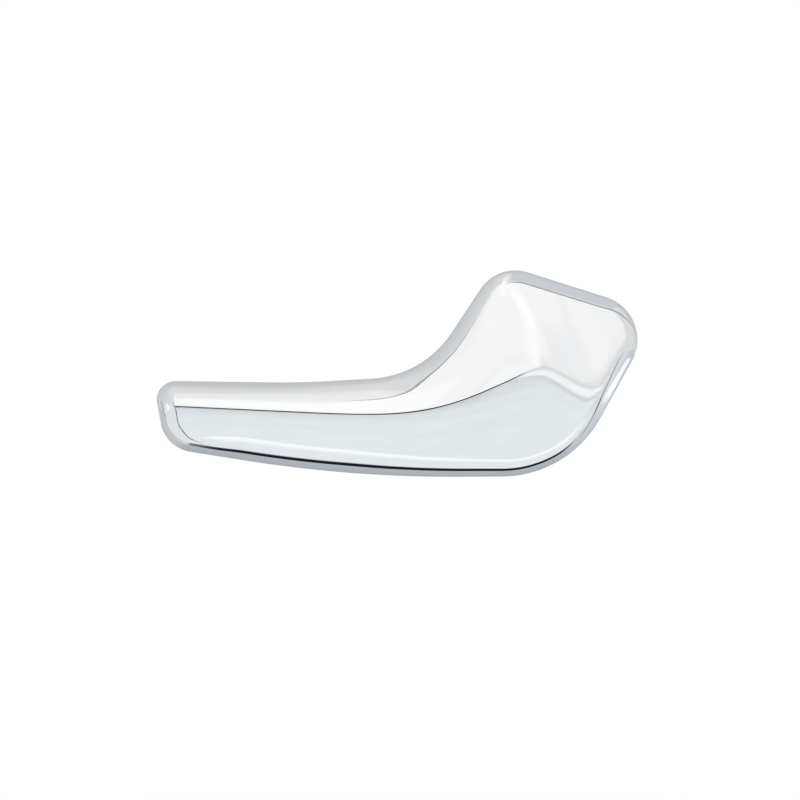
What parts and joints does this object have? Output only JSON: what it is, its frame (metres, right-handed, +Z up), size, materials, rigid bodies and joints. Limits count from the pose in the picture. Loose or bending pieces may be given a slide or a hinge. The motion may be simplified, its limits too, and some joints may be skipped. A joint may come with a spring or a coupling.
{
  "type": "car interior door handle",
  "caption": "Bright plated inner door release lever: slim finger arm, boomerang elbow and wide paddle, swinging on a sprung hinge pin, with a cable hook behind.",
  "frame": {"origin": "on the hinge axis, half way along the hinge pin", "axes": "+X from the finger tip towards the hinge end, +Z up along the hinge pin, the show face looks along -Y"},
  "size_m": [0.1402, 0.054, 0.0602],
  "materials": {
    "plated_moulding": "bright chrome plating on a plastic moulding",
    "pin_steel": "ground steel",
    "spring_steel": "drawn spring wire"
  },
  "bodies": {
    "pivot": {"hinge_pin": "pin_steel", "return_spring": "spring_steel"},
    "lever_body": {"lever": "plated_moulding"}
  },
  "joints": [
    {"name": "lever_swing", "type": "hinge", "parent": "pivot", "child": "lever_body", "pos_m": [0, 0, 0], "axis": [0, 0, 1], "range_deg": [0, 35], "stiffness_Nm_per_rad": 0.25, "springref_deg": -34.38, "deforming": ["return_spring"]}
  ]
}
